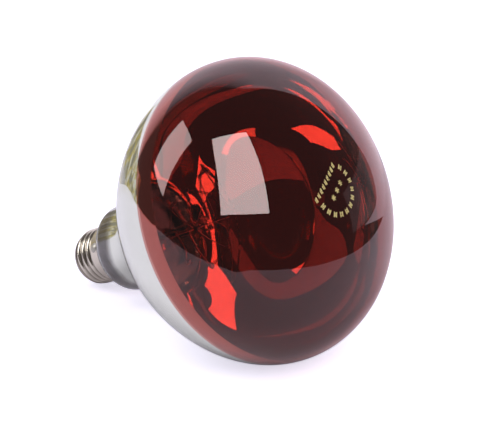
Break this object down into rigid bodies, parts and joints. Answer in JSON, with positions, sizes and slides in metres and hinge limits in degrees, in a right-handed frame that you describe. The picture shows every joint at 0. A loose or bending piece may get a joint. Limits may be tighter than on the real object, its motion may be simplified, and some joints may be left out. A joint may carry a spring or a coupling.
{
  "type": "infrared heat lamp bulb",
  "caption": "Reflector bulb with a red glass front, silvered glass back, coiled filament on wire supports and a screw cap, for radiant heat.",
  "frame": {"origin": "centre of the flat tip of the cap's centre contact", "axes": "+Z along the bulb's axis from the cap to the top of the glass crown; +X towards the gap in the filament ring, midway between the two leads; the side solder is on -Y"},
  "size_m": [0.125, 0.125, 0.1662],
  "materials": {
    "ruby_glass": "smooth blown glass, red over the crown and silvered inside behind the widest ring",
    "clear_glass": "clear lead glass, flame worked",
    "nickel_wire": "drawn wire, satin",
    "molybdenum_wire": "drawn wire, dark satin",
    "tungsten_coil": "wound coil, dark grey",
    "copper_lead": "drawn wire",
    "nickel_plated_shell": "rolled sheet, bright nickel plating",
    "black_glass": "poured black glass, glossy",
    "brass_contact": "pressed, satin",
    "solder": "soft solder, dull",
    "basing_cement": "baked cement, matt"
  },
  "bodies": {
    "root": {"glass_bulb": "ruby_glass", "stem_flare": "clear_glass", "exhaust_tube": "clear_glass", "support_rod": "clear_glass", "inner_lead_left": "nickel_wire", "inner_lead_right": "nickel_wire", "filament_coil": "tungsten_coil", "centre_lead": "copper_lead", "side_lead": "copper_lead", "cap_shell": "nickel_plated_shell", "cap_insulator": "black_glass", "centre_contact": "brass_contact", "centre_solder": "solder", "side_solder": "solder", "cap_cement": "basing_cement", "support_wire_1": "molybdenum_wire", "support_wire_2": "molybdenum_wire", "support_wire_3": "molybdenum_wire", "support_wire_4": "molybdenum_wire", "support_wire_5": "molybdenum_wire", "support_wire_6": "molybdenum_wire"}
  },
  "joints": []
}
